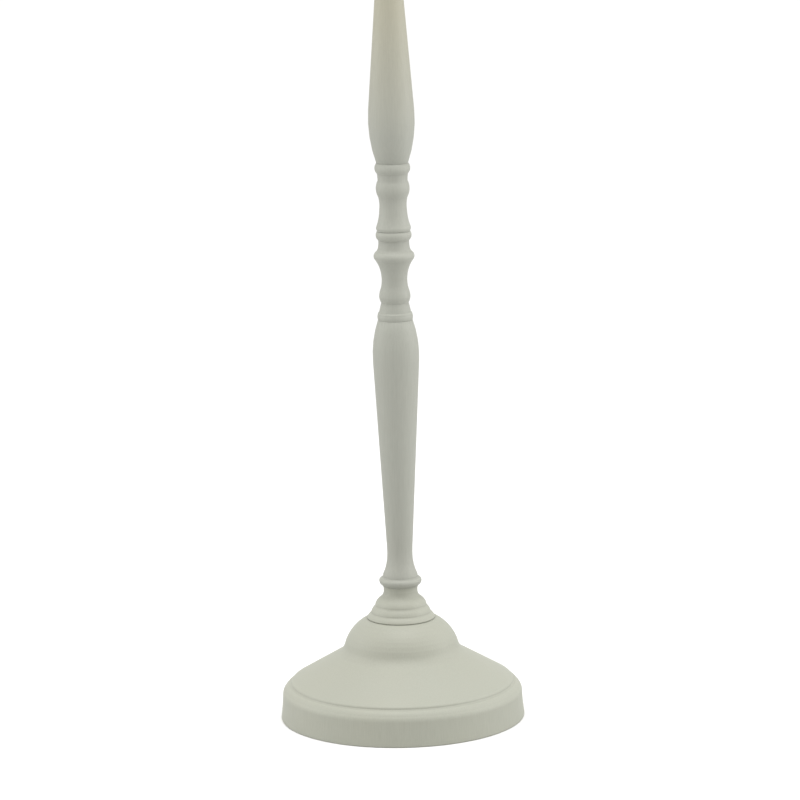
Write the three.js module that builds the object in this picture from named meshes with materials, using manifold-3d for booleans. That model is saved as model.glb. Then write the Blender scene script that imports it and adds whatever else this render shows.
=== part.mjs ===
// A tall wooden candlestick: six turned pieces stacked on a weighted round base, a brass candle
// cup let into the top and a loose brass drip pan lying on it.
// Millimetres, +Z up. The floor is Z = 0 and every turned piece stands on the Z axis.
import * as THREE from "three";
import Module from "manifold-3d";

const wasm = await Module();
wasm.setup();

// ---------- clearances ----------
const GAP = 0.3; // between two pieces that rest on, or are pushed into, each other
const SEE_THROUGH = 1; // how far a cutter runs past the face it starts from

// ---------- base ----------
const BASE_RADIUS = 125;
const BASE_HEIGHT = 103.4;
const RIM_LIFT = 0.6; // the wooden rim stands this far off the floor, on the felt
const RIM_ROUNDING = 2.2;
const SKIRT_HEIGHT = 24.8;
const SKIRT_LEAN = 2.1; // the skirt is this much smaller at its top
const CONE_INSET = 12.3; // the cone's lower edge, in from the rim
const CONE_BOTTOM_HEIGHT = 39.4;
const CONE_TOP_RADIUS = 72;
const CONE_TOP_HEIGHT = 63;
const DOME_RADIUS = 58.6;
const DOME_FOOT = 75.6; // height where the dome leaves the hollow

// ---------- column, piece by piece from the floor up ----------
const FOOT_HEIGHT = 33.3;
const LOWER_SPINDLE_HEIGHT = 276.4;
const LOWER_BALUSTER_HEIGHT = 90.8;
const UPPER_BALUSTER_HEIGHT = 68.7;
const UPPER_SPINDLE_HEIGHT = 219;
const CAPITAL_WEB = 9.5; // wood between the last stud and the candle cup
const FOOT_RADIUS = 35.6;
const END_RADIUS = 17.7; // where two pieces of the column meet
const NECK_RADIUS = 12.95; // the slimmest places
const SWELL_RADIUS = 23.55; // the fattest place of each long spindle
const BEAD_HEIGHT = 9.6; // the round ring at the end of each long spindle

// ---------- joining hardware ----------
const STUD_RADIUS = 4;
const STUD_REACH = 18; // how far a stud goes into each of its two pieces
const INSERT_WALL = 1.7;
const INSERT_LENGTH = 14;
const SPIGOT_RADIUS = 12;
const SPIGOT_LENGTH = 20.3;
const BOLT_HEAD_WIDER = 3.5; // than the bolt's shank, at its corners
const BOLT_HEAD_HEIGHT = 5.3;
const WASHER_WIDTH = 7.7; // from its hole to its edge
const WASHER_THICKNESS = 1.6;
const SPRING_WASHER_WIDTH = 2.6;
const SPRING_WASHER_THICKNESS = 2;
const SPRING_WASHER_SPLIT = 1.2;

// ---------- ballast and felt under the base ----------
const FELT_THICKNESS = 2;
const FELT_INSET = 6; // in from the rim
const FELT_HOLE_WIDER = 6; // than the bolt's well, so that a spanner reaches the bolt
const BALLAST_RADIUS = 75;
const BALLAST_THICKNESS = 12;
const BOLT_WELL_ROOM = 4; // round the washer
const BOLT_WELL_DEPTH = 11.4; // above the top of the ballast
const SCREW_COUNT = 3;
const SCREW_CIRCLE_RADIUS = 55;
const SCREW_RADIUS = 2.2;
const SCREW_HEAD_RADIUS = 4.4;
const SCREW_HEAD_HEIGHT = 2.4;
const SCREW_LENGTH = 26;

// ---------- candle cup and drip pan ----------
const CANDLE_RADIUS = 11; // a dinner candle
const CUP_CLEARANCE = 0.3; // round the candle
const CUP_WALL = 1.7;
const CUP_DEPTH = 30;
const CUP_FLOOR = 1.5;
const CUP_CHAMFER = 1;
const FLANGE_WIDTH = 8; // beyond the cup's wall
const FLANGE_THICKNESS = 1.6;
const PAN_RADIUS = 46;
const PAN_FLAT_RADIUS = 33;
const PAN_HOLE_ROOM = 1.5; // round the cup's bore
const PAN_THICKNESS = 1.4;
const PAN_RIM_RISE = 3.6;

// ---------- sizes that follow from those ----------
const STUD_HOLE_RADIUS = STUD_RADIUS + GAP;
const STUD_HOLE_DEPTH = STUD_REACH + 2 * GAP;
const INSERT_RADIUS = STUD_HOLE_RADIUS + INSERT_WALL;
const INSERT_HOLE_RADIUS = INSERT_RADIUS + GAP;
const INSERT_HOLE_DEPTH = INSERT_LENGTH + 2 * GAP;
const BOLT_HEAD_RADIUS = STUD_RADIUS + BOLT_HEAD_WIDER;
const WASHER_RADIUS = STUD_HOLE_RADIUS + WASHER_WIDTH;
const SPRING_WASHER_RADIUS = STUD_HOLE_RADIUS + SPRING_WASHER_WIDTH;
const BOLT_WELL_RADIUS = WASHER_RADIUS + BOLT_WELL_ROOM;
const FELT_RADIUS = BASE_RADIUS - FELT_INSET;
const FELT_HOLE_RADIUS = BOLT_WELL_RADIUS + FELT_HOLE_WIDER;
const BALLAST_BOTTOM = FELT_THICKNESS + GAP;
const BALLAST_TOP = BALLAST_BOTTOM + BALLAST_THICKNESS;
const WELL_ROOF = BALLAST_TOP + GAP + BOLT_WELL_DEPTH;
const SPIGOT_BOTTOM = BASE_HEIGHT + GAP - SPIGOT_LENGTH;
const SPIGOT_HOLE_DEPTH = SPIGOT_LENGTH + GAP;
const CUP_BORE_RADIUS = CANDLE_RADIUS + CUP_CLEARANCE;
const CUP_OUTER_RADIUS = CUP_BORE_RADIUS + CUP_WALL;
const FLANGE_RADIUS = CUP_OUTER_RADIUS + FLANGE_WIDTH;
const PAN_HOLE_RADIUS = CUP_BORE_RADIUS + PAN_HOLE_ROOM;
const CAPITAL_HEIGHT = STUD_HOLE_DEPTH + CAPITAL_WEB + CUP_FLOOR + CUP_DEPTH - FLANGE_THICKNESS;

// Each piece of the column starts one gap above the one below it.
const footBottom = BASE_HEIGHT + GAP;
const lowerSpindleBottom = footBottom + FOOT_HEIGHT + GAP;
const lowerBalusterBottom = lowerSpindleBottom + LOWER_SPINDLE_HEIGHT + GAP;
const upperBalusterBottom = lowerBalusterBottom + LOWER_BALUSTER_HEIGHT + GAP;
const upperSpindleBottom = upperBalusterBottom + UPPER_BALUSTER_HEIGHT + GAP;
const capitalBottom = upperSpindleBottom + UPPER_SPINDLE_HEIGHT + GAP;
const capitalTop = capitalBottom + CAPITAL_HEIGHT;
const cupTop = capitalTop + GAP + FLANGE_THICKNESS;
const cupBottom = cupTop - CUP_DEPTH - CUP_FLOOR;
const panBottom = cupTop + GAP;

// ---------- smoothness ----------
const FACET_ERROR = 0.3; // how far an outline's straight facets may stray from its arcs
const BASE_FACETS = 40;
const COLUMN_FACETS = 28;
const CUP_FACETS = 24;
const HARDWARE_FACETS = 12;
const HEX = 6;

// ---------- materials ----------
const material = (color, roughness, metalness) =>
  new THREE.MeshStandardMaterial({ color, roughness, metalness });
const PAINT = ["#bab9a8", 0.6, 0];
const BRASS = ["#b08d4f", 0.35, 1];
const STEEL = ["#a9abad", 0.4, 1];
const IRON = ["#3b3c3e", 0.7, 0.6];
const FELT = ["#5d6a52", 0.95, 0];

const group = new THREE.Group();
group.name = "candlestick";

function addPiece(name, geometry, look) {
  const mesh = new THREE.Mesh(geometry, material(...look));
  mesh.name = name;
  group.add(mesh);
  return mesh;
}

// A turned outline: [radius, height] points drawn upwards from straight lines and arcs.
class Outline {
  constructor(radius, height) {
    this.points = [[radius, height]];
  }

  line(radius, height) {
    this.points.push([radius, height]);
    return this;
  }

  // bulge is the arc's rise over its chord: above 0 it swells outwards, below 0 it hollows.
  arc(radius, height, bulge) {
    const [startRadius, startHeight] = this.points.at(-1);
    const across = radius - startRadius;
    const up = height - startHeight;
    const half = 2 * Math.atan(2 * bulge);
    const reach = 1 / (2 * Math.sin(half));
    const arcRadius = Math.abs(reach) * Math.hypot(across, up);
    const steps = Math.ceil(Math.abs(half) / Math.acos(1 - FACET_ERROR / arcRadius));
    for (let i = 1; i <= steps; i++) {
      const turn = half * ((2 * i) / steps - 1);
      const along = 0.5 + reach * Math.sin(turn);
      const rise = reach * (Math.cos(turn) - Math.cos(half));
      const pointRadius = startRadius + across * along + up * rise;
      this.points.push([pointRadius, startHeight + up * along - across * rise]);
    }
    return this;
  }

  close() {
    this.points.push([...this.points[0]]);
    return this;
  }
}

// Turns an outline about the Z axis.
function turned(outline, facets) {
  const points = outline.points.map(([radius, height]) => new THREE.Vector2(radius, height));
  return new THREE.LatheGeometry(points, facets).rotateX(Math.PI / 2);
}

// A flat ring, or a plain disc when its hole is 0, from one height to another.
function ring(inner, outer, bottom, top, facets) {
  return turned(
    new Outline(inner, bottom).line(outer, bottom).line(outer, top).line(inner, top).close(),
    facets,
  );
}

function rod(radius, bottom, top, facets) {
  return new THREE.CylinderGeometry(radius, radius, top - bottom, facets)
    .rotateX(Math.PI / 2)
    .translate(0, 0, (bottom + top) / 2);
}

// A geometry as a solid that can be joined and cut, and a solid as a geometry again.
function toSolid(geometry) {
  const flat = geometry.index ? geometry.toNonIndexed() : geometry;
  const mesh = new wasm.Mesh({
    numProp: 3,
    vertProperties: new Float32Array(flat.getAttribute("position").array),
    triVerts: Uint32Array.from({ length: flat.getAttribute("position").count }, (_, i) => i),
  });
  mesh.merge();
  return new wasm.Manifold(mesh);
}

function toGeometry(solid) {
  const mesh = solid.getMesh();
  const geometry = new THREE.BufferGeometry();
  geometry.setAttribute("position", new THREE.BufferAttribute(mesh.vertProperties, 3));
  geometry.setIndex(new THREE.BufferAttribute(mesh.triVerts, 1));
  return geometry;
}

function cut(geometry, cutters) {
  let solid = toSolid(geometry);
  for (const cutter of cutters) solid = solid.subtract(toSolid(cutter));
  return toGeometry(solid);
}

// ---------- ends of the column's pieces ----------

// The lower end of a piece: a stud glued into a blind hole on the axis.
function studSocket(bottom) {
  return new Outline(0, bottom + STUD_HOLE_DEPTH)
    .line(STUD_HOLE_RADIUS, bottom + STUD_HOLE_DEPTH)
    .line(STUD_HOLE_RADIUS, bottom);
}

// The upper end of a piece: a hole for the threaded insert, and a narrower one for the stud's tip.
function insertSocket(outline, top) {
  return outline
    .line(INSERT_HOLE_RADIUS, top)
    .line(INSERT_HOLE_RADIUS, top - INSERT_HOLE_DEPTH)
    .line(STUD_HOLE_RADIUS, top - INSERT_HOLE_DEPTH)
    .line(STUD_HOLE_RADIUS, top - STUD_HOLE_DEPTH)
    .line(0, top - STUD_HOLE_DEPTH);
}

// A stud and the insert it screws into, at the seam whose lower face is at this height.
function addJoint(name, seam) {
  const middle = seam + GAP / 2;
  const stud = rod(STUD_RADIUS, middle - STUD_REACH, middle + STUD_REACH, HARDWARE_FACETS);
  addPiece(`${name}_stud`, stud, STEEL);
  const insertTop = seam - GAP;
  const insertBottom = insertTop - INSERT_LENGTH;
  const insert = ring(STUD_HOLE_RADIUS, INSERT_RADIUS, insertBottom, insertTop, HARDWARE_FACETS);
  addPiece(`${name}_insert`, insert, BRASS);
}

// ---------- base ----------

function screwSpots() {
  return Array.from({ length: SCREW_COUNT }, (_, i) => {
    const turn = (2 * Math.PI * i) / SCREW_COUNT + Math.PI / 2;
    return [SCREW_CIRCLE_RADIUS * Math.cos(turn), SCREW_CIRCLE_RADIUS * Math.sin(turn)];
  });
}

// A countersunk screw, head down; room widens it all over for the hole it sits in.
function screwShape(room) {
  const headTop = BALLAST_BOTTOM + SCREW_HEAD_HEIGHT + room;
  const tip = BALLAST_BOTTOM + SCREW_LENGTH + room;
  const bottom = BALLAST_BOTTOM - (room ? SEE_THROUGH : 0);
  return turned(
    new Outline(0, bottom)
      .line(SCREW_HEAD_RADIUS + room, bottom)
      .line(SCREW_HEAD_RADIUS + room, BALLAST_BOTTOM + GAP)
      .line(SCREW_RADIUS + room, headTop)
      .line(SCREW_RADIUS + room, tip)
      .line(0, tip),
    HARDWARE_FACETS,
  );
}

function baseDome() {
  const coneRadius = BASE_RADIUS - CONE_INSET;
  const outline = new Outline(STUD_HOLE_RADIUS, WELL_ROOF)
    .line(BOLT_WELL_RADIUS, WELL_ROOF)
    .line(BOLT_WELL_RADIUS, BALLAST_TOP + GAP)
    .line(BALLAST_RADIUS + GAP, BALLAST_TOP + GAP)
    .line(BALLAST_RADIUS + GAP, FELT_THICKNESS + GAP)
    .line(FELT_RADIUS + GAP, FELT_THICKNESS + GAP)
    .line(FELT_RADIUS + GAP, RIM_LIFT)
    .line(BASE_RADIUS - RIM_ROUNDING, RIM_LIFT)
    .arc(BASE_RADIUS, RIM_LIFT + RIM_ROUNDING, 0.2)
    // skirt, then the roll along its top and the fine quirk under the cone
    .line(BASE_RADIUS - SKIRT_LEAN, SKIRT_HEIGHT)
    .arc(coneRadius + 3.4, CONE_BOTTOM_HEIGHT - 3, 0.12)
    .line(coneRadius + 2, CONE_BOTTOM_HEIGHT - 2.5)
    .line(coneRadius + 1.7, CONE_BOTTOM_HEIGHT - 1.5)
    .line(coneRadius, CONE_BOTTOM_HEIGHT)
    // cone, hollow and dome
    .line(CONE_TOP_RADIUS, CONE_TOP_HEIGHT)
    .arc(DOME_RADIUS, DOME_FOOT, -0.14)
    .arc(FOOT_RADIUS + 2.6, BASE_HEIGHT - 0.6, 0.107)
    .line(FOOT_RADIUS - 2, BASE_HEIGHT)
    // socket for the foot's spigot
    .line(SPIGOT_RADIUS + GAP, BASE_HEIGHT)
    .line(SPIGOT_RADIUS + GAP, BASE_HEIGHT - SPIGOT_HOLE_DEPTH)
    .line(STUD_HOLE_RADIUS, BASE_HEIGHT - SPIGOT_HOLE_DEPTH)
    .close();
  const holes = screwSpots().map(([x, y]) => screwShape(GAP).translate(x, y, 0));
  return cut(turned(outline, BASE_FACETS), holes);
}

function addBase() {
  addPiece("base_dome", baseDome(), PAINT);
  addPiece("base_felt", ring(FELT_HOLE_RADIUS, FELT_RADIUS, 0, FELT_THICKNESS, BASE_FACETS), FELT);
  const plate = ring(BOLT_WELL_RADIUS, BALLAST_RADIUS, BALLAST_BOTTOM, BALLAST_TOP, BASE_FACETS);
  const holes = screwSpots().map(([x, y]) => screwShape(GAP).translate(x, y, 0));
  addPiece("ballast_plate", cut(plate, holes), IRON);
  screwSpots().forEach(([x, y], i) => {
    addPiece(`ballast_screw_${i + 1}`, screwShape(0), STEEL).position.set(x, y, 0);
  });
}

// The bolt that draws the foot down on the base, with its washers and the insert it screws into.
function addBaseBolt() {
  const washerTop = WELL_ROOF - GAP;
  const washerBottom = washerTop - WASHER_THICKNESS;
  const springTop = washerBottom - GAP;
  const springBottom = springTop - SPRING_WASHER_THICKNESS;
  const headTop = springBottom - GAP;
  const boltTip = SPIGOT_BOTTOM + INSERT_LENGTH - GAP;
  const washer = ring(STUD_HOLE_RADIUS, WASHER_RADIUS, washerBottom, washerTop, HARDWARE_FACETS);
  addPiece("base_washer", washer, STEEL);
  const spring = ring(STUD_HOLE_RADIUS, SPRING_WASHER_RADIUS, springBottom, springTop, HARDWARE_FACETS);
  const split = new THREE.BoxGeometry(2 * WASHER_RADIUS, SPRING_WASHER_SPLIT, 4 * SPRING_WASHER_THICKNESS)
    .translate(WASHER_RADIUS, 0, springBottom);
  addPiece("base_spring_washer", cut(spring, [split]), STEEL);
  const head = toSolid(rod(BOLT_HEAD_RADIUS, headTop - BOLT_HEAD_HEIGHT, headTop, HEX));
  const shank = toSolid(rod(STUD_RADIUS, headTop - GAP, boltTip, HARDWARE_FACETS));
  addPiece("base_bolt", toGeometry(head.add(shank)), STEEL);
  const insertTop = SPIGOT_BOTTOM + GAP + INSERT_LENGTH;
  const insert = ring(STUD_HOLE_RADIUS, INSERT_RADIUS, SPIGOT_BOTTOM + GAP, insertTop, HARDWARE_FACETS);
  addPiece("base_bolt_insert", insert, BRASS);
}

// ---------- column ----------

// Three stepped tiers, each with an upright edge and a flare above it, then a long hollow.
function columnFoot() {
  const bottom = footBottom;
  const top = bottom + FOOT_HEIGHT;
  const insertHoleTop = SPIGOT_BOTTOM + INSERT_HOLE_DEPTH;
  const step = (FOOT_RADIUS - END_RADIUS) / 18;
  const outline = new Outline(0, insertHoleTop)
    .line(INSERT_HOLE_RADIUS, insertHoleTop)
    .line(INSERT_HOLE_RADIUS, SPIGOT_BOTTOM)
    .line(SPIGOT_RADIUS, SPIGOT_BOTTOM)
    .line(SPIGOT_RADIUS, bottom)
    .line(FOOT_RADIUS, bottom)
    .line(FOOT_RADIUS, bottom + 0.8)
    .arc(FOOT_RADIUS - 5 * step, bottom + 6.9, -0.06)
    .line(FOOT_RADIUS - 5.2 * step, bottom + 7.8)
    .arc(FOOT_RADIUS - 6.3 * step, bottom + 9.1, 0.12)
    .arc(FOOT_RADIUS - 9.2 * step, bottom + 14.4, -0.06)
    .line(FOOT_RADIUS - 9.5 * step, bottom + 15.8)
    .arc(END_RADIUS + 3.7 * step, bottom + 21.1, 0.08)
    .arc(END_RADIUS - 0.3 * step, top - 4.1, -0.12)
    .line(END_RADIUS, top);
  return turned(insertSocket(outline, top), COLUMN_FACETS);
}

// Bead and collar, a flare into the neck, a long straight taper and a round shoulder.
function lowerSpindle() {
  const bottom = lowerSpindleBottom;
  const top = bottom + LOWER_SPINDLE_HEIGHT;
  const outline = studSocket(bottom)
    .line(END_RADIUS, bottom)
    .arc(END_RADIUS + 0.2, bottom + BEAD_HEIGHT, 0.42)
    .line(END_RADIUS - 0.1, bottom + BEAD_HEIGHT + 3.1)
    .arc(NECK_RADIUS, bottom + 33.2, -0.055)
    .line(NECK_RADIUS + 0.5, bottom + 47.1)
    .line(SWELL_RADIUS - 0.15, top - 42)
    .arc(END_RADIUS + 0.2, top, 0.049);
  return turned(insertSocket(outline, top), COLUMN_FACETS);
}

// Collar, flared neck, bead, neck, knop with a sharp waist above it, and a bead at the top.
function lowerBaluster() {
  const bottom = lowerBalusterBottom;
  const top = bottom + LOWER_BALUSTER_HEIGHT;
  const outline = studSocket(bottom)
    .line(END_RADIUS, bottom)
    .arc(END_RADIUS - 0.2, bottom + 6, 0.09)
    .arc(NECK_RADIUS + 3.5, bottom + 8, 0.15)
    .line(NECK_RADIUS + 1.25, bottom + 17.5)
    .arc(NECK_RADIUS + 2.95, bottom + 24.5, 0.06)
    .arc(NECK_RADIUS + 1.65, bottom + 30.7, 0.03)
    .arc(NECK_RADIUS + 0.1, bottom + 39, -0.045)
    .arc(NECK_RADIUS + 0.1, bottom + 43.5, -0.02)
    .arc(NECK_RADIUS + 6, bottom + 61.3, -0.068)
    .arc(NECK_RADIUS + 5.6, bottom + 69.5, 0.235)
    .arc(NECK_RADIUS + 3.25, bottom + 73.5, -0.08)
    .arc(NECK_RADIUS + 2.8, bottom + 81.5, -0.045)
    .arc(END_RADIUS - 0.7, top, 0.2);
  return turned(insertSocket(outline, top), COLUMN_FACETS);
}

// Collar, hollow neck, bead, short neck and a bead at the top.
function upperBaluster() {
  const bottom = upperBalusterBottom;
  const top = bottom + UPPER_BALUSTER_HEIGHT;
  const outline = studSocket(bottom)
    .line(END_RADIUS - 0.5, bottom)
    .arc(END_RADIUS - 0.6, bottom + 4.9, 0.12)
    .arc(NECK_RADIUS + 1.05, bottom + 21.3, -0.04)
    .arc(NECK_RADIUS + 1.8, bottom + 34.3, -0.045)
    .arc(NECK_RADIUS + 2.2, bottom + 51.1, 0.125)
    .arc(NECK_RADIUS + 2.85, bottom + 59.7, -0.03)
    .arc(END_RADIUS - 1.1, top, 0.19);
  return turned(insertSocket(outline, top), COLUMN_FACETS);
}

// The lower spindle's shape the other way up: shoulder, straight taper, neck, flare and bead.
function upperSpindle() {
  const bottom = upperSpindleBottom;
  const top = bottom + UPPER_SPINDLE_HEIGHT;
  const outline = studSocket(bottom)
    .line(END_RADIUS - 1.1, bottom)
    .arc(SWELL_RADIUS - 0.4, bottom + 53.6, 0.05)
    .line(NECK_RADIUS + 0.3, top - 37)
    .arc(NECK_RADIUS + 0.1, top - 32, -0.02)
    .arc(END_RADIUS - 0.1, top - BEAD_HEIGHT - 3.1, -0.055)
    .line(END_RADIUS + 0.2, top - BEAD_HEIGHT)
    .arc(END_RADIUS, top, 0.42);
  return turned(insertSocket(outline, top), COLUMN_FACETS);
}

// The foot's hollow and top tier turned over, then a flared cup with a rolled lip.
function capital() {
  const bottom = capitalBottom;
  const top = capitalTop;
  const outline = studSocket(bottom)
    .line(END_RADIUS, bottom)
    .line(END_RADIUS - 0.3, bottom + 4.1)
    .arc(END_RADIUS + 3.7, bottom + 12.2, -0.12)
    .arc(END_RADIUS + 8.4, bottom + 17.5, 0.08)
    .line(END_RADIUS + 8.4, bottom + 18.9)
    .arc(END_RADIUS + 5.4, bottom + 22, -0.2)
    .arc(END_RADIUS + 11.4, top - 7, -0.09)
    .line(END_RADIUS + 12.4, top - 6)
    .arc(END_RADIUS + 12.4, top - 0.8, 0.36)
    .line(END_RADIUS + 11.4, top)
    .line(CUP_OUTER_RADIUS + GAP, top)
    .line(CUP_OUTER_RADIUS + GAP, cupBottom - GAP)
    .line(0, cupBottom - GAP);
  return turned(outline, COLUMN_FACETS);
}

function addColumn() {
  addPiece("column_foot", columnFoot(), PAINT);
  addPiece("lower_spindle", lowerSpindle(), PAINT);
  addPiece("lower_baluster", lowerBaluster(), PAINT);
  addPiece("upper_baluster", upperBaluster(), PAINT);
  addPiece("upper_spindle", upperSpindle(), PAINT);
  addPiece("capital", capital(), PAINT);
  addJoint("column_foot", lowerSpindleBottom - GAP);
  addJoint("lower_spindle", lowerBalusterBottom - GAP);
  addJoint("lower_baluster", upperBalusterBottom - GAP);
  addJoint("upper_baluster", upperSpindleBottom - GAP);
  addJoint("upper_spindle", capitalBottom - GAP);
}

// ---------- candle cup and drip pan ----------

function candleCup() {
  const flangeBottom = capitalTop + GAP;
  return turned(
    new Outline(0, cupBottom)
      .line(CUP_OUTER_RADIUS, cupBottom)
      .line(CUP_OUTER_RADIUS, flangeBottom)
      .line(FLANGE_RADIUS, flangeBottom)
      .line(FLANGE_RADIUS, cupTop)
      .line(CUP_BORE_RADIUS + CUP_CHAMFER, cupTop)
      .line(CUP_BORE_RADIUS, cupTop - CUP_CHAMFER)
      .line(CUP_BORE_RADIUS, cupBottom + CUP_FLOOR)
      .line(0, cupBottom + CUP_FLOOR),
    CUP_FACETS,
  );
}

// A shallow dish with a hole the candle passes through.
function dripPan() {
  const flatTop = panBottom + PAN_THICKNESS;
  return turned(
    new Outline(PAN_HOLE_RADIUS, panBottom)
      .line(PAN_FLAT_RADIUS, panBottom)
      .arc(PAN_RADIUS, panBottom + PAN_RIM_RISE, 0.07)
      .line(PAN_RADIUS, flatTop + PAN_RIM_RISE)
      .arc(PAN_FLAT_RADIUS, flatTop, -0.07)
      .line(PAN_HOLE_RADIUS, flatTop)
      .close(),
    BASE_FACETS,
  );
}

addBase();
addBaseBolt();
addColumn();
addPiece("candle_cup", candleCup(), BRASS);
addPiece("drip_pan", dripPan(), BRASS);

export default group;
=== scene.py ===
# %% [markdown]
# # A turned wooden candlestick
#
# This lesson dresses a tall, painted, floor-standing candlestick. The measured model of it is
# already there: it comes in as a frame of plain faceted solids that fix every size and place.
# Here each visible piece is turned again on a finer lathe, painted, and set in soft daylight.

# %% Load the frame
import bpy
import math
from mathutils import Euler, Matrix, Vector


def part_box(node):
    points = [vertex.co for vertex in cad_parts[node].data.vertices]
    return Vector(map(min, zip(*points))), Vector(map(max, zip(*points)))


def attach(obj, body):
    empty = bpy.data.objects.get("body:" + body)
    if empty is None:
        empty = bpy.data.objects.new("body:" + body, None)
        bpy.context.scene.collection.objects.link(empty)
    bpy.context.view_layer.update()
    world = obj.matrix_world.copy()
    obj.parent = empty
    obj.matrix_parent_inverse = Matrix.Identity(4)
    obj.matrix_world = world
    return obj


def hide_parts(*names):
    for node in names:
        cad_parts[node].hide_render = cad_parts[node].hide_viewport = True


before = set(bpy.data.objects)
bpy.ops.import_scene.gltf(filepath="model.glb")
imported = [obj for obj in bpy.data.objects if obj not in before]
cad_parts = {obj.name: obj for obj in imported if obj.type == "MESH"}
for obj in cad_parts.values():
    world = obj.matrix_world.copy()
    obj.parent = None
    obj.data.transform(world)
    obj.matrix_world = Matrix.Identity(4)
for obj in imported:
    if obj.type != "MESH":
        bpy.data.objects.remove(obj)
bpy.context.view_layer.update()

# %% [markdown]
# ## Camera
#
# The candlestick is seen from far away with a long lens, so its upright lines stay parallel and
# the rings of the base close up into flat ellipses. The camera stands at a person's height and
# looks down a little. A short lens close by would make the base look too big for the column.

# %% Camera
LENS = 198                # mm
SENSOR = 36               # mm
CAMERA_AWAY = 4.378       # m in front of the column
CAMERA_HEIGHT = 1.2212    # m above the floor
LOOK_AT_HEIGHT = 0.3307   # m, where the middle of the view meets the column
SIDE_STEP = 0.0032        # m to the right, so that the column stands a touch left of the middle
ROLL_DEGREES = -1.12      # the camera is held a little askew

camera_data = bpy.data.cameras.new("camera")
camera_data.lens = LENS
camera_data.sensor_width = SENSOR
camera = bpy.data.objects.new("camera", camera_data)
bpy.context.scene.collection.objects.link(camera)
camera.location = (SIDE_STEP, -CAMERA_AWAY, CAMERA_HEIGHT)
look_down = math.atan2(CAMERA_HEIGHT - LOOK_AT_HEIGHT, CAMERA_AWAY)
level = Euler((math.pi / 2 - look_down, 0, 0)).to_quaternion()
camera.rotation_mode = "QUATERNION"
camera.rotation_quaternion = level @ Euler((0, 0, math.radians(ROLL_DEGREES))).to_quaternion()
bpy.context.scene.camera = camera
print("camera looks down", round(math.degrees(look_down), 2), "degrees")

# %% [markdown]
# ## Light and floor
#
# A white studio: a pale floor that runs back past the view, an even sky, one soft light from
# straight above that whitens everything facing up, a softbox over the front, and a tall softbox
# on each side. Nothing bright stands behind the camera, so the front of the column stays darker
# than its two edges. A whiter floor would throw so much light back up that the hollows under the
# beads vanish. A pale grey one under stronger light looks as white and keeps them.

# %% Light and floor
SKY = 1.03                # brightness of the even sky
TOP_LIGHT = 1.29          # W/m2 on a level surface
TOP_LIGHT_DEGREES = 40    # how wide it looks from below; wide is soft
LEFT_LIGHT = 10.5         # W, and the two below it too
RIGHT_LIGHT = 15.0
OVERHEAD_LIGHT = 10.7
WHITE = (1, 1, 1, 1)

bpy.context.scene.view_settings.view_transform = "Standard"

world = bpy.data.worlds.new("studio_sky")
bpy.context.scene.world = world
world.use_nodes = True
sky = world.node_tree.nodes["Background"]
sky.inputs["Color"].default_value = WHITE
sky.inputs["Strength"].default_value = SKY


def add_light(name, kind, energy, place, towards):
    data = bpy.data.lights.new(name, kind)
    data.energy = energy
    light = bpy.data.objects.new(name, data)
    bpy.context.scene.collection.objects.link(light)
    light.location = place
    light.rotation_mode = "QUATERNION"
    light.rotation_quaternion = (Vector(towards) - Vector(place)).to_track_quat("-Z", "Y")
    return data


def add_softbox(name, energy, place, towards, width, height):
    data = add_light(name, "AREA", energy, place, towards)
    data.shape = "RECTANGLE"
    data.size = width
    data.size_y = height


top_light = add_light("top_light", "SUN", TOP_LIGHT, (0, 0, 3), (0, 0.001, 0))
top_light.angle = math.radians(TOP_LIGHT_DEGREES)
add_softbox("left_light", LEFT_LIGHT, (-1.7, 0.15, 0.75), (0, 0, 0.45), 0.9, 1.6)
add_softbox("right_light", RIGHT_LIGHT, (1.7, 0.0, 0.75), (0, 0, 0.45), 0.9, 1.6)
add_softbox("overhead_light", OVERHEAD_LIGHT, (0, -0.5, 1.7), (0, 0, 0.6), 1.2, 0.8)

bpy.ops.object.select_all(action="DESELECT")
bpy.ops.mesh.primitive_plane_add(size=60, location=(0, 10, 0))
floor = bpy.context.active_object
floor.name = "studio_floor"

# %% [markdown]
# ## Helpers for materials
#
# Every finish below is built from nodes. One small function turns a hex colour into the linear
# values that the shaders work in, and one adds a node, sets what is given as a number and links
# what is given as another node's socket.

# %% Material helpers
def linear(hex_colour):
    channels = [int(hex_colour[i:i + 2], 16) / 255 for i in (1, 3, 5)]
    curve = [c / 12.92 if c <= 0.04045 else ((c + 0.055) / 1.055) ** 2.4 for c in channels]
    return (*curve, 1)


def add_node(material, kind, inputs=None, **settings):
    node = material.node_tree.nodes.new(kind)
    for name, value in settings.items():
        setattr(node, name, value)
    for name, value in (inputs or {}).items():
        if isinstance(value, bpy.types.NodeSocket):
            material.node_tree.links.new(value, node.inputs[name])
        else:
            node.inputs[name].default_value = value
    return node


def new_material(name):
    material = bpy.data.materials.new(name)
    material.use_nodes = True
    return material, material.node_tree.nodes["Principled BSDF"]


def join(material, socket, shader, name):
    material.node_tree.links.new(socket, shader.inputs[name])


# %% [markdown]
# ## Floor finish
#
# A sheet of matte pale-grey board. It only has to be even and dull.

# %% Floor finish
pale_board, board_shader = new_material("matte_pale_board")
board_shader.inputs["Base Color"].default_value = linear("#dadad9")
board_shader.inputs["Roughness"].default_value = 0.9
floor.data.materials.append(pale_board)
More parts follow.
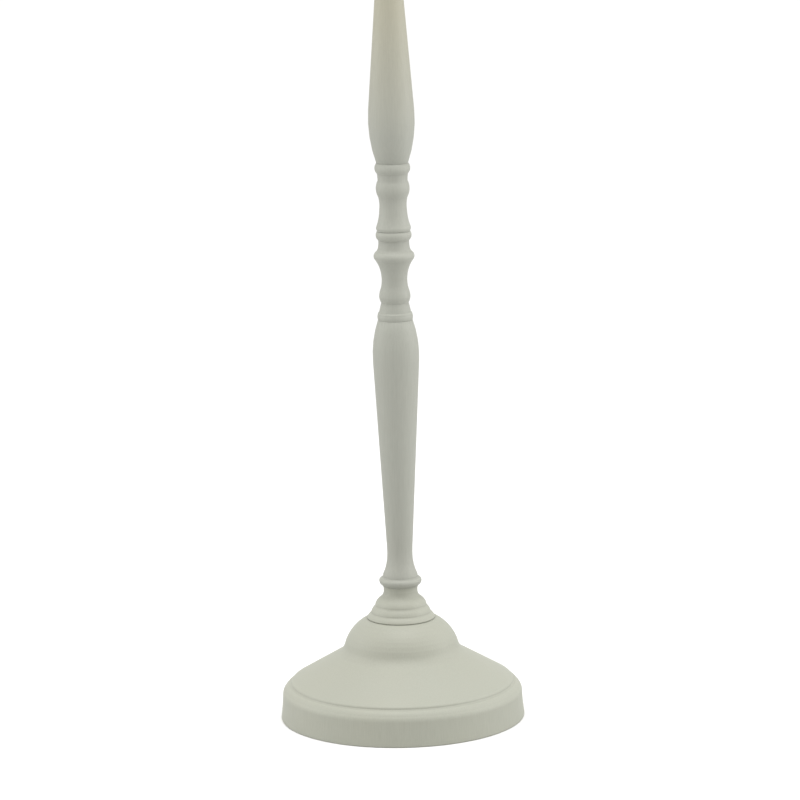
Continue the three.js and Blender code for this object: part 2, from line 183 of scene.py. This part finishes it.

# %% [markdown]
# ## Eggshell paint on turned wood
#
# The wood is sealed and brushed with a putty-grey eggshell paint. What the eye gets is a soft
# sheen with no clear reflection, a colour that drifts a little warmer and cooler over a hand's
# width, faint lines round the piece where the brush was held against it as it turned on the
# lathe, and a trace of the long grain underneath. The colour is painted darker in the hollows,
# as painted shade, and paler on the crests, as painted highlight, from an attribute called
# "crest" on each piece.
# Towards the candle the colour is mixed a little yellower with height.

# %% Eggshell paint
BRUSH_LINE = 0.0016       # m from one brush line to the next
GRAIN_WIDTH = 0.0011      # m across one streak of grain; finer in life, coarse enough to show
GRAIN_LENGTH = 0.045
TONE_PATCH = 0.12         # m across one warmer or cooler patch
SPECKLE = 0.0009          # m across one dimple of the paint film
UNTINTED_BELOW = 0.6         # m above the floor; from here up the paint yellows,
YELLOW_ABOVE = 0.74       # and from here up it is as yellow as it gets


def eggshell_paint(name, warm, cool, top_tint):
    material, shader = new_material(name)
    place = add_node(material, "ShaderNodeTexCoord").outputs["Object"]
    patches = add_node(material, "ShaderNodeTexNoise",
                       {"Vector": place, "Scale": 1 / TONE_PATCH, "Detail": 3.0})
    tone = add_node(material, "ShaderNodeMix",
                    {"Factor": patches.outputs["Fac"], "A": linear(warm), "B": linear(cool)},
                    data_type="RGBA")
    height = add_node(material, "ShaderNodeSeparateXYZ", {"Vector": place}).outputs["Z"]
    yellower_upward = add_node(material, "ShaderNodeMapRange",
                      {"Value": height, "From Min": UNTINTED_BELOW, "From Max": YELLOW_ABOVE})
    tinted_by_height = add_node(material, "ShaderNodeMix",
                    {"Factor": yellower_upward.outputs["Result"], "A": tone.outputs["Result"],
                     "B": linear(top_tint)},
                    data_type="RGBA")
    across = 1 / GRAIN_WIDTH
    along_grain = add_node(material, "ShaderNodeMapping",
                           {"Vector": place, "Scale": (across, across, 1 / GRAIN_LENGTH)})
    grain = add_node(material, "ShaderNodeTexNoise",
                     {"Vector": along_grain.outputs["Vector"], "Scale": 1.0, "Detail": 2.0})
    streaks = add_node(material, "ShaderNodeMapRange",
                       {"Value": grain.outputs["Fac"], "From Min": 0.25, "From Max": 0.75,
                        "To Min": 0.965, "To Max": 1.035})
    # Painted shade and highlight: the colour is made darker in the hollows and paler on the
    # crests.
    crest = add_node(material, "ShaderNodeAttribute", attribute_name="crest")
    painted_shade_and_highlight = add_node(material, "ShaderNodeMapRange",
                      {"Value": crest.outputs["Fac"], "From Min": -1.0, "From Max": 1.0,
                       "To Min": 0.95, "To Max": 1.04})
    streaked = add_node(material, "ShaderNodeVectorMath",
                        {0: tinted_by_height.outputs["Result"], "Scale": streaks.outputs["Result"]},
                        operation="SCALE")
    shaded = add_node(material, "ShaderNodeVectorMath",
                      {0: streaked.outputs["Vector"], "Scale": painted_shade_and_highlight.outputs["Result"]},
                      operation="SCALE")
    join(material, shaded.outputs["Vector"], shader, "Base Color")
    sheen_patches = add_node(material, "ShaderNodeTexNoise",
                             {"Vector": place, "Scale": 3 / TONE_PATCH, "Detail": 4.0})
    dull = add_node(material, "ShaderNodeMapRange",
                    {"Value": sheen_patches.outputs["Fac"], "To Min": 0.5, "To Max": 0.66})
    join(material, dull.outputs["Result"], shader, "Roughness")
    round_piece = add_node(material, "ShaderNodeMapping",
                           {"Vector": place, "Scale": (8.0, 8.0, 1 / BRUSH_LINE)})
    brush = add_node(material, "ShaderNodeTexNoise",
                     {"Vector": round_piece.outputs["Vector"], "Scale": 1.0, "Detail": 2.0})
    film = add_node(material, "ShaderNodeTexNoise",
                    {"Vector": place, "Scale": 1 / SPECKLE, "Detail": 1.0})
    grain_bump = add_node(material, "ShaderNodeBump",
                          {"Height": grain.outputs["Fac"], "Strength": 0.25, "Distance": 0.0002})
    brush_bump = add_node(material, "ShaderNodeBump",
                          {"Height": brush.outputs["Fac"], "Strength": 0.3, "Distance": 0.0002,
                           "Normal": grain_bump.outputs["Normal"]})
    film_bump = add_node(material, "ShaderNodeBump",
                         {"Height": film.outputs["Fac"], "Strength": 0.15, "Distance": 0.0001,
                          "Normal": brush_bump.outputs["Normal"]})
    join(material, film_bump.outputs["Normal"], shader, "Normal")
    return material


base_paint = eggshell_paint("eggshell_paint_on_base", "#919184", "#8e9085", "#928f7e")
column_paint = eggshell_paint("eggshell_paint_on_column", "#8d8d84", "#8b8d84", "#928f7e")

# %% [markdown]
# ## Brass, steel, iron and felt
#
# The cup and pan are spun from sheet brass and left satin: fine rings from the tool run round
# them. The bolt and its washers are zinc-plated steel with a faint crystal bloom. The weight is
# sand-cast iron, blacked, with a pebbly skin. The ring underneath is pressed wool felt.

# %% Metals and felt
TOOL_RING = 0.0012        # m from one tool ring to the next; coarser than life, so that it shows
WAVE_RADIANS = 20         # that the Wave node turns through in one metre at scale 1
CAST_GRIT = 0.0012        # m across one grain of moulding sand
ZINC_BLOOM = 0.004        # m across one crystal of the zinc
WOOL_TUFT = 0.0014        # m across one tuft
TARNISH_PATCH = 0.022     # m across one duller patch of the brass


def satin_brass():
    material, shader = new_material("spun_satin_brass")
    shader.inputs["Metallic"].default_value = 1.0
    place = add_node(material, "ShaderNodeTexCoord").outputs["Object"]
    rings = add_node(material, "ShaderNodeTexWave",
                     {"Vector": place, "Scale": 2 * math.pi / TOOL_RING / WAVE_RADIANS,
                      "Distortion": 0.4, "Detail": 2.0, "Detail Scale": 4.0},
                     wave_type="RINGS", rings_direction="Z")
    tarnish = add_node(material, "ShaderNodeTexNoise",
                       {"Vector": place, "Scale": 1 / TARNISH_PATCH, "Detail": 5.0})
    tint = add_node(material, "ShaderNodeMix",
                    {"Factor": tarnish.outputs["Fac"],
                     "A": linear("#bb9758"), "B": linear("#9b7b46")},
                    data_type="RGBA")
    join(material, tint.outputs["Result"], shader, "Base Color")
    satin = add_node(material, "ShaderNodeMapRange",
                     {"Value": tarnish.outputs["Fac"], "To Min": 0.24, "To Max": 0.42})
    join(material, satin.outputs["Result"], shader, "Roughness")
    bump = add_node(material, "ShaderNodeBump",
                    {"Height": rings.outputs["Fac"], "Strength": 0.2, "Distance": 0.0001})
    join(material, bump.outputs["Normal"], shader, "Normal")
    return material


def zinc_plated_steel():
    material, shader = new_material("zinc_plated_steel")
    shader.inputs["Metallic"].default_value = 1.0
    place = add_node(material, "ShaderNodeTexCoord").outputs["Object"]
    bloom = add_node(material, "ShaderNodeTexVoronoi", {"Vector": place, "Scale": 1 / ZINC_BLOOM})
    tint = add_node(material, "ShaderNodeMix",
                    {"Factor": bloom.outputs["Distance"],
                     "A": linear("#b4b7b8"), "B": linear("#9da1a4")},
                    data_type="RGBA")
    join(material, tint.outputs["Result"], shader, "Base Color")
    dull = add_node(material, "ShaderNodeMapRange",
                    {"Value": bloom.outputs["Distance"], "To Min": 0.3, "To Max": 0.45})
    join(material, dull.outputs["Result"], shader, "Roughness")
    return material


def blacked_cast_iron():
    material, shader = new_material("blacked_cast_iron")
    shader.inputs["Metallic"].default_value = 0.6
    place = add_node(material, "ShaderNodeTexCoord").outputs["Object"]
    grit = add_node(material, "ShaderNodeTexNoise",
                    {"Vector": place, "Scale": 1 / CAST_GRIT, "Detail": 3.0})
    tint = add_node(material, "ShaderNodeMix",
                    {"Factor": grit.outputs["Fac"],
                     "A": linear("#2c2d2f"), "B": linear("#4a4846")},
                    data_type="RGBA")
    join(material, tint.outputs["Result"], shader, "Base Color")
    shader.inputs["Roughness"].default_value = 0.72
    bump = add_node(material, "ShaderNodeBump",
                    {"Height": grit.outputs["Fac"], "Strength": 0.6, "Distance": 0.0004})
    join(material, bump.outputs["Normal"], shader, "Normal")
    return material


def pressed_wool_felt():
    material, shader = new_material("pressed_wool_felt")
    place = add_node(material, "ShaderNodeTexCoord").outputs["Object"]
    tufts = add_node(material, "ShaderNodeTexNoise",
                     {"Vector": place, "Scale": 1 / WOOL_TUFT, "Detail": 6.0, "Distortion": 1.5})
    tint = add_node(material, "ShaderNodeMix",
                    {"Factor": tufts.outputs["Fac"],
                     "A": linear("#46523d"), "B": linear("#6c7a5e")},
                    data_type="RGBA")
    join(material, tint.outputs["Result"], shader, "Base Color")
    shader.inputs["Roughness"].default_value = 0.95
    shader.inputs["Sheen Weight"].default_value = 0.4
    bump = add_node(material, "ShaderNodeBump",
                    {"Height": tufts.outputs["Fac"], "Strength": 0.7, "Distance": 0.0006})
    join(material, bump.outputs["Normal"], shader, "Normal")
    return material


brass = satin_brass()
steel = zinc_plated_steel()
iron = blacked_cast_iron()
felt = pressed_wool_felt()
print("materials:", [m.name for m in bpy.data.materials])

# %% [markdown]
# ## Drawing an outline
#
# A turner works from half a section: the outline of the piece from its axis outwards. Here it is
# drawn the same way, upwards, in millimetres, with straight lines and round arcs. The bulge of
# an arc is its rise over its chord, so a small number is a gentle curve.

# %% Outlines
ARC_DEGREES = 7           # of arc for each short straight of an outline


class Outline:
    def __init__(self, radius, height):
        self.points = [(radius, height)]

    def line(self, radius, height):
        self.points.append((radius, height))
        return self

    def arc(self, radius, height, bulge):
        start_radius, start_height = self.points[-1]
        across, up = radius - start_radius, height - start_height
        half = 2 * math.atan(2 * bulge)
        steps = max(4, math.ceil(2 * abs(math.degrees(half)) / ARC_DEGREES))
        for step in range(1, steps + 1):
            turn = half * (2 * step / steps - 1)
            along = 0.5 + math.sin(turn) / (2 * math.sin(half))
            rise = (math.cos(turn) - math.cos(half)) / (2 * math.sin(half))
            self.points.append((start_radius + across * along + up * rise,
                                start_height + up * along - across * rise))
        return self

# %% [markdown]
# ## Turning it on the lathe
#
# Blender's lathe is the Spin tool. The outline is drawn by pushing one vertex from point to
# point with Extrude, its sharp corners are eased with a vertex bevel, as sandpaper does, and
# Spin sweeps it once round the axis. The first and last copies then lie on each other, so they
# are merged, and the normals are made to point out. Stacking primitive cylinders would be
# quicker, but a turned profile flows from bead to hollow and cylinders can't.

# %% The lathe
MM = 0.001
FACETS = 192              # straight sides in one turn
CORNER_DEGREES = 24       # an outline that turns more than this has a corner to ease
SMOOTH_DEGREES = 35       # faces that meet more gently than this are shaded as one surface
CREST_REACH = 2.2         # mm of rounding that counts as a full crest or hollow
MERGE = 1e-6              # m, closer than this is the same place


def turning_at(points, i, closed):
    before, here, after = points[i - 1], points[i], points[(i + 1) % len(points)]
    if not closed and i in (0, len(points) - 1):
        return 0, 1
    first = math.atan2(here[1] - before[1], here[0] - before[0])
    second = math.atan2(after[1] - here[1], after[0] - here[0])
    turn = (second - first + math.pi) % (2 * math.pi) - math.pi
    reach = (math.dist(before, here) + math.dist(here, after)) / 2
    return turn, reach


def draw_outline(name, points, closed):
    bpy.ops.object.select_all(action="DESELECT")
    bpy.ops.mesh.primitive_plane_add(size=MM, location=(0, 0, 0))
    piece = bpy.context.active_object
    piece.name = piece.data.name = name
    bpy.ops.object.mode_set(mode="EDIT")
    bpy.ops.mesh.merge(type="CENTER")
    start = Vector((points[0][0] * MM, 0, points[0][1] * MM))
    bpy.ops.transform.translate(value=start)
    for before, after in zip(points, points[1:]):
        step = ((after[0] - before[0]) * MM, 0, (after[1] - before[1]) * MM)
        bpy.ops.mesh.extrude_region_move(TRANSFORM_OT_translate={"value": step})
    if closed:
        step = ((points[0][0] - points[-1][0]) * MM, 0, (points[0][1] - points[-1][1]) * MM)
        bpy.ops.mesh.extrude_region_move(TRANSFORM_OT_translate={"value": step})
        bpy.ops.mesh.select_all(action="SELECT")
        bpy.ops.mesh.remove_doubles(threshold=MERGE)
    bpy.ops.object.mode_set(mode="OBJECT")
    return piece


def turn_piece(name, outline, ease, material, body, closed=False):
    points = outline.points
    piece = draw_outline(name, points, closed)
    # The outline's curvature, which the paint uses for painted shade in hollows and painted
    # highlight on crests.
    crest = piece.data.attributes.new("crest", "FLOAT", "POINT")
    corners = []
    for i, vertex in enumerate(piece.data.vertices):
        turn, reach = turning_at(points, i, closed)
        crest.data[i].value = max(-1, min(1, turn / reach * CREST_REACH))
        vertex.select = abs(math.degrees(turn)) > CORNER_DEGREES and points[i][0] > 0
        corners.append(vertex.select)
    bpy.ops.object.mode_set(mode="EDIT")
    bpy.ops.mesh.select_mode(type="VERT")
    if any(corners):
        bpy.ops.mesh.bevel(offset=ease * MM, segments=2, affect="VERTICES", clamp_overlap=True)
    bpy.ops.mesh.select_all(action="SELECT")
    bpy.ops.mesh.spin(steps=FACETS, angle=2 * math.pi, center=(0, 0, 0), axis=(0, 0, 1))
    bpy.ops.mesh.select_all(action="SELECT")
    bpy.ops.mesh.remove_doubles(threshold=MERGE)
    bpy.ops.mesh.normals_make_consistent(inside=False)
    bpy.ops.object.mode_set(mode="OBJECT")
    bpy.ops.object.shade_smooth_by_angle(angle=math.radians(SMOOTH_DEGREES))
    piece.data.materials.append(material)
    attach(piece, body)
    print(name, len(points), "points,", len(piece.data.polygons), "faces")
    return piece

# %% [markdown]
# ## Heights
#
# Every piece takes its place from the frame: the heights of the seams are read from the solids,
# and the outlines below only say how far each moulding is from its own end.

# %% Heights from the frame
def bottom_of(node):
    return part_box(node)[0].z / MM


def top_of(node):
    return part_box(node)[1].z / MM


def radius_of(node):
    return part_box(node)[1].x / MM


def seam_above(node):
    return top_of(node) + GAP - SEAM


GAP = 0.3                 # mm between two pieces
SEAM = 0.04               # mm of it that the paint leaves open
STUD_HOLE = 4.3           # mm, radius
STUD_DEPTH = 18.6
INSERT_HOLE = 6.3         # mm, radius
INSERT_DEPTH = 14.6
END = 17.7                # mm, radius where two pieces of the column meet
NECK = 12.95              # mm, radius of the column at its slimmest
SWELL = 23.55             # mm, and at its fattest
BEAD = 9.6                # mm, height of the round ring at the end of each long spindle
EASE = 0.35               # mm, what sanding takes off a corner
SANDED = 0.03             # mm, off the widest place
SETTLED = 0.4             # mm, how far the base sinks as the felt gives

# %% [markdown]
# The ends of each column piece hide the joint: a blind hole for the glued stud below, and a
# stepped hole for the threaded insert above. The rims of both are broken with a tiny chamfer,
# and the paint nearly closes the gap between them, so that only a hair line shows the seam.

# %% Ends of the column's pieces
CHAMFER = 0.08            # mm


def stud_end(bottom, end):
    return (Outline(0, bottom + STUD_DEPTH).line(STUD_HOLE, bottom + STUD_DEPTH)
            .line(STUD_HOLE, bottom).line(end - CHAMFER, bottom).line(end, bottom + CHAMFER))


def insert_end(outline, top, end):
    return (outline.line(end, top - CHAMFER).line(end - CHAMFER, top)
            .line(INSERT_HOLE, top).line(INSERT_HOLE, top - INSERT_DEPTH)
            .line(STUD_HOLE, top - INSERT_DEPTH).line(STUD_HOLE, top - STUD_DEPTH)
            .line(0, top - STUD_DEPTH))

# %% [markdown]
# ## Base
#
# The base is turned from a glued-up block. From the floor: a skirt that leans in a little, a
# roll along its top, a fine quirk cut under the edge of the cone, the long cone, a hollow, and
# the dome the column stands on. Underneath are the well for the bolt and the recess for the
# weight. Its outline is a closed loop, because the bolt's hole runs right through.

# %% Base
SKIRT_TOP = 24.8          # mm above the floor, as the other heights here are
CONE_EDGE = 112.7         # mm, radius of the cone's lower edge
CONE_EDGE_HEIGHT = 39.4
CONE_TOP = 66.2           # mm, radius
CONE_TOP_HEIGHT = 66.7
DOME = 58.6               # mm, radius
DOME_FOOT = 75.6
FOOT = 35.2               # mm, radius of the column's foot
SPIGOT = 12               # mm, radius of the peg under the foot
SPIGOT_DEPTH = 20.6
SPANNER_ROOM = 4          # mm round the bolt's washer

base_radius = radius_of("base_dome") - SANDED
base_top = seam_above("base_dome")
rim = bottom_of("base_dome") - SETTLED
felt_top = top_of("base_felt") + GAP
felt_edge = radius_of("base_felt") + GAP
ballast_edge = radius_of("ballast_plate") + GAP
ballast_roof = top_of("ballast_plate") + GAP
well_roof = top_of("base_washer") + GAP
well = radius_of("base_washer") + SPANNER_ROOM

base_outline = (
    Outline(STUD_HOLE, well_roof).line(well, well_roof).line(well, ballast_roof)
    .line(ballast_edge, ballast_roof).line(ballast_edge, felt_top)
    .line(felt_edge, felt_top).line(felt_edge, rim).line(base_radius - 0.7, rim)
    .arc(base_radius, rim + 1, 0.2)
    .arc(base_radius - 2, SKIRT_TOP, -0.012)
    .arc(CONE_EDGE + 8, CONE_EDGE_HEIGHT - 8.4, 0.1)
    .arc(CONE_EDGE + 3.9, CONE_EDGE_HEIGHT - 4.3, 0.06)
    .arc(CONE_EDGE + 1.2, CONE_EDGE_HEIGHT - 2.6, -0.1)
    .line(CONE_EDGE + 1, CONE_EDGE_HEIGHT - 1.4)
    .arc(CONE_EDGE - 0.8, CONE_EDGE_HEIGHT + 0.4, 0.07)
    .line(CONE_TOP, CONE_TOP_HEIGHT)
    .arc(DOME, DOME_FOOT, -0.09)
    .arc(FOOT + 1.6, base_top - 0.5, 0.107)
    .line(FOOT - 2, base_top)
    .line(SPIGOT + GAP, base_top).line(SPIGOT + GAP, base_top - SPIGOT_DEPTH)
    .line(STUD_HOLE, base_top - SPIGOT_DEPTH)
)
turned_base = turn_piece("turned_base", base_outline, EASE, base_paint,
                         "candlestick", closed=True)
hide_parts("base_dome")

# %% [markdown]
# ## Foot of the column
#
# Three tiers step in, each one swelling out from a small hollow that catches the light down to
# a steeper edge that falls into shade. A spigot below drops into the base.

# %% Foot
foot_bottom = base_top + SEAM
foot_top = seam_above("column_foot")
spigot_bottom = bottom_of("column_foot")
foot_outline = (
    Outline(0, spigot_bottom + INSERT_DEPTH).line(INSERT_HOLE, spigot_bottom + INSERT_DEPTH)
    .line(INSERT_HOLE, spigot_bottom).line(SPIGOT, spigot_bottom).line(SPIGOT, foot_bottom)
    .line(FOOT - 1, foot_bottom)
    .arc(FOOT - 0.4, foot_bottom + 0.9, 0.15)
    .arc(FOOT - 4.1, foot_bottom + 5.4, 0.07)
    .arc(FOOT - 4.9, foot_bottom + 7.2, -0.12)
    .arc(FOOT - 8.1, foot_bottom + 12.3, 0.07)
    .arc(FOOT - 9, foot_bottom + 14.9, -0.1)
    .arc(END + 2.9, foot_bottom + 21.9, 0.09)
    .arc(END - 0.3, foot_top - 4.1, -0.13)
    .arc(END + 0.4, foot_top - CHAMFER, -0.08)
)
turned_foot = turn_piece("turned_foot", insert_end(foot_outline, foot_top, END + 0.4), EASE,
                         base_paint, "candlestick")
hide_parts("column_foot")

# %% [markdown]
# ## Lower spindle
#
# A round bead, a small collar, a flare into the slim neck, then a long straight taper up to the
# shoulder, which rolls over to the seam.

# %% Lower spindle
bottom = bottom_of("lower_spindle")
top = seam_above("lower_spindle")
lower_spindle_outline = (
    stud_end(bottom, END + 0.4)
    .arc(END + 1.4, bottom + 1.1, -0.06)
    .arc(END + 4, bottom + 5.2, 0.11)
    .arc(END + 1, bottom + BEAD - 0.7, 0.22)
    .arc(END + 0.1, bottom + BEAD + 0.8, -0.15)
    .line(END - 0.05, bottom + BEAD + 2.7)
    .arc(NECK, bottom + 33.2, -0.055)
    .arc(NECK + 0.5, bottom + 47.1, -0.01)
    .line(SWELL - 0.15, top - 43.5)
    .arc(END - 0.1, top - CHAMFER, 0.049)
)
turned_lower_spindle = turn_piece(
    "turned_lower_spindle", insert_end(lower_spindle_outline, top, END - 0.1), EASE,
    column_paint, "candlestick")
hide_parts("lower_spindle")

# %% [markdown]
# ## Lower baluster
#
# A collar, a short cone, a bead, a neck, a full knop with a waist above it, and a bead under
# the next seam.

# %% Lower baluster
bottom = bottom_of("lower_baluster")
top = seam_above("lower_baluster")
lower_baluster_outline = (
    stud_end(bottom, END - 0.2)
    .arc(END - 0.2, bottom + 6, 0.09)
    .arc(NECK + 3.3, bottom + 8, 0.15)
    .line(NECK + 1, bottom + 17.5)
    .arc(NECK + 2.95, bottom + 24.5, 0.06)
    .arc(NECK + 1.65, bottom + 30.7, 0.03)
    .arc(NECK + 0.1, bottom + 39, -0.045)
    .arc(NECK + 0.1, bottom + 43.5, -0.02)
    .arc(NECK + 6, bottom + 61.3, -0.068)
    .arc(NECK + 5.6, bottom + 69.5, 0.235)
    .arc(NECK + 3.25, bottom + 73.5, -0.08)
    .arc(NECK + 2.8, bottom + 81.5, -0.045)
    .arc(END - 1.2, top - CHAMFER, 0.21)
)
turned_lower_baluster = turn_piece(
    "turned_lower_baluster", insert_end(lower_baluster_outline, top, END - 1.2), EASE,
    column_paint, "candlestick")
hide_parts("lower_baluster")

# %% [markdown]
# ## Upper baluster
#
# A collar, a long hollow neck, a flat bead, a short neck and a collar under the seam.

# %% Upper baluster
bottom = bottom_of("upper_baluster")
top = seam_above("upper_baluster")
upper_baluster_outline = (
    stud_end(bottom, END - 1)
    .arc(END - 0.6, bottom + 4.9, 0.14)
    .arc(NECK + 1.05, bottom + 21.3, -0.04)
    .arc(NECK + 1.8, bottom + 34.3, -0.045)
    .arc(NECK + 2.2, bottom + 51.1, 0.125)
    .arc(NECK + 2.85, bottom + 58.4, -0.03)
    .arc(END - 1.6, top - CHAMFER, 0.2)
)
turned_upper_baluster = turn_piece(
    "turned_upper_baluster", insert_end(upper_baluster_outline, top, END - 1.6), EASE,
    column_paint, "candlestick")
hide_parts("upper_baluster")

# %% [markdown]
# ## Upper spindle
#
# The lower spindle the other way up: shoulder, long taper, neck, flare, collar and bead.

# %% Upper spindle
bottom = bottom_of("upper_spindle")
top = seam_above("upper_spindle")
upper_spindle_outline = (
    stud_end(bottom, END - 1.6)
    .arc(SWELL - 0.4, bottom + 53.6, 0.0505)
    .line(NECK + 0.3, top - 37)
    .arc(NECK + 0.1, top - 32, -0.02)
    .arc(END - 0.05, top - BEAD - 2.7, -0.055)
    .line(END + 0.2, top - BEAD - 0.1)
    .arc(END, top - CHAMFER, 0.42)
)
turned_upper_spindle = turn_piece(
    "turned_upper_spindle", insert_end(upper_spindle_outline, top, END), EASE,
    column_paint, "candlestick")
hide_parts("upper_spindle")

# %% [markdown]
# ## Capital
#
# The foot's hollow and top tier turned over, then a flared cup with a rolled lip. Its socket
# holds the brass candle cup.

# %% Capital
SOCKET = 13.3             # mm, radius
TIER = END + 8.4          # mm, radius of the ring under the cup
LIP = END + 12.4          # mm, radius at the top
bottom = bottom_of("capital")
top = top_of("capital")
socket_floor = bottom_of("candle_cup") - GAP
capital_outline = (
    stud_end(bottom, END)
    .line(END - 0.3, bottom + 4.1)
    .arc(END + 3.7, bottom + 12.2, -0.12)
    .arc(TIER, bottom + 17.5, 0.08)
    .line(TIER, bottom + 18.9)
    .arc(TIER - 3, bottom + 22, -0.2)
    .arc(LIP - 1, top - 7, -0.09)
    .line(LIP, top - 6)
    .arc(LIP, top - 0.8, 0.36)
    .line(LIP - 1, top).line(SOCKET, top).line(SOCKET, socket_floor).line(0, socket_floor)
)
turned_capital = turn_piece("turned_capital", capital_outline, EASE, column_paint,
                            "candlestick")
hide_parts("capital")

# %% [markdown]
# ## Candle cup and drip pan
#
# The cup is a brass thimble with a flat flange. The pan is a shallow dish that lies loose on the
# flange, with a hole for the candle and a rim rolled over a wire so that it is safe to touch.

# %% Candle cup
BORE = 11.3               # mm, radius of the hole for the candle
CUP_WALL = 1.7            # mm
CUP_FLOOR = 1.5           # mm
METAL_EASE = 0.25         # mm, off the corners of brass and steel
cup_bottom = bottom_of("candle_cup")
cup_top = top_of("candle_cup")
flange = radius_of("candle_cup")
flange_bottom = top_of("capital") + GAP
cup_outline = (
    Outline(0, cup_bottom)
    .line(BORE + CUP_WALL, cup_bottom).line(BORE + CUP_WALL, flange_bottom)
    .line(flange - 0.8, flange_bottom).arc(flange - 0.8, cup_top, 0.5)
    .line(BORE + 1.6, cup_top).arc(BORE, cup_top - 1.6, 0.2)
    .line(BORE, cup_bottom + CUP_FLOOR).line(0, cup_bottom + CUP_FLOOR)
)
spun_cup = turn_piece("spun_candle_cup", cup_outline, METAL_EASE, brass,
                      "candlestick")
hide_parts("candle_cup")

# %% Drip pan
PAN_HOLE = 12.8           # mm, radius
PAN_FLAT = 33             # mm, radius where the pan starts to turn up
PAN_WALL = 1.4            # mm
ROLL_RADIUS = 1.1         # mm, of the rolled rim
pan_bottom = bottom_of("drip_pan")
pan_top = top_of("drip_pan")
pan_radius = radius_of("drip_pan")
wire_radius, wire_height = pan_radius - ROLL_RADIUS, pan_top - ROLL_RADIUS
pan_outline = (
    Outline(PAN_HOLE, pan_bottom).line(PAN_FLAT, pan_bottom)
    .arc(wire_radius - 0.9, wire_height - 0.7, 0.07)
    .arc(wire_radius - 0.9, wire_height + 0.9, 0.95)
    .arc(PAN_FLAT, pan_bottom + PAN_WALL, -0.07)
    .line(PAN_HOLE, pan_bottom + PAN_WALL)
)
spun_pan = turn_piece("spun_drip_pan", pan_outline, METAL_EASE, brass, "pan",
                      closed=True)
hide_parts("drip_pan")

# %% [markdown]
# ## Underneath
#
# The felt is a soft-edged ring and the flat washer is a plain one; both are turned the same way.
# The solids of the weight, bolt, spring washer, studs, inserts and screws stay as they are,
# because little of them shows: only the bolt's end in its well, and a narrow ring of the weight
# inside the felt's hole. Each takes its metal.

# %% Felt and washer
FELT_HOLE = 22            # mm, radius
FELT_EASE = 0.6           # mm


def flat_ring(name, node, hole, ease, material):
    low, high, edge = bottom_of(node), top_of(node), radius_of(node)
    outline = Outline(hole, low).line(edge, low).line(edge, high).line(hole, high)
    piece = turn_piece(name, outline, ease, material, "candlestick", closed=True)
    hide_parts(node)


flat_ring("felt_ring", "base_felt", FELT_HOLE, FELT_EASE, felt)
flat_ring("flat_washer", "base_washer", STUD_HOLE, METAL_EASE, steel)

# %% Metal of the solids that stay
for name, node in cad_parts.items():
    if name.endswith("_insert"):
        metal = brass
    elif name.startswith("ballast_plate"):
        metal = iron
    else:
        metal = steel
    node.data.materials.clear()
    node.data.materials.append(metal)
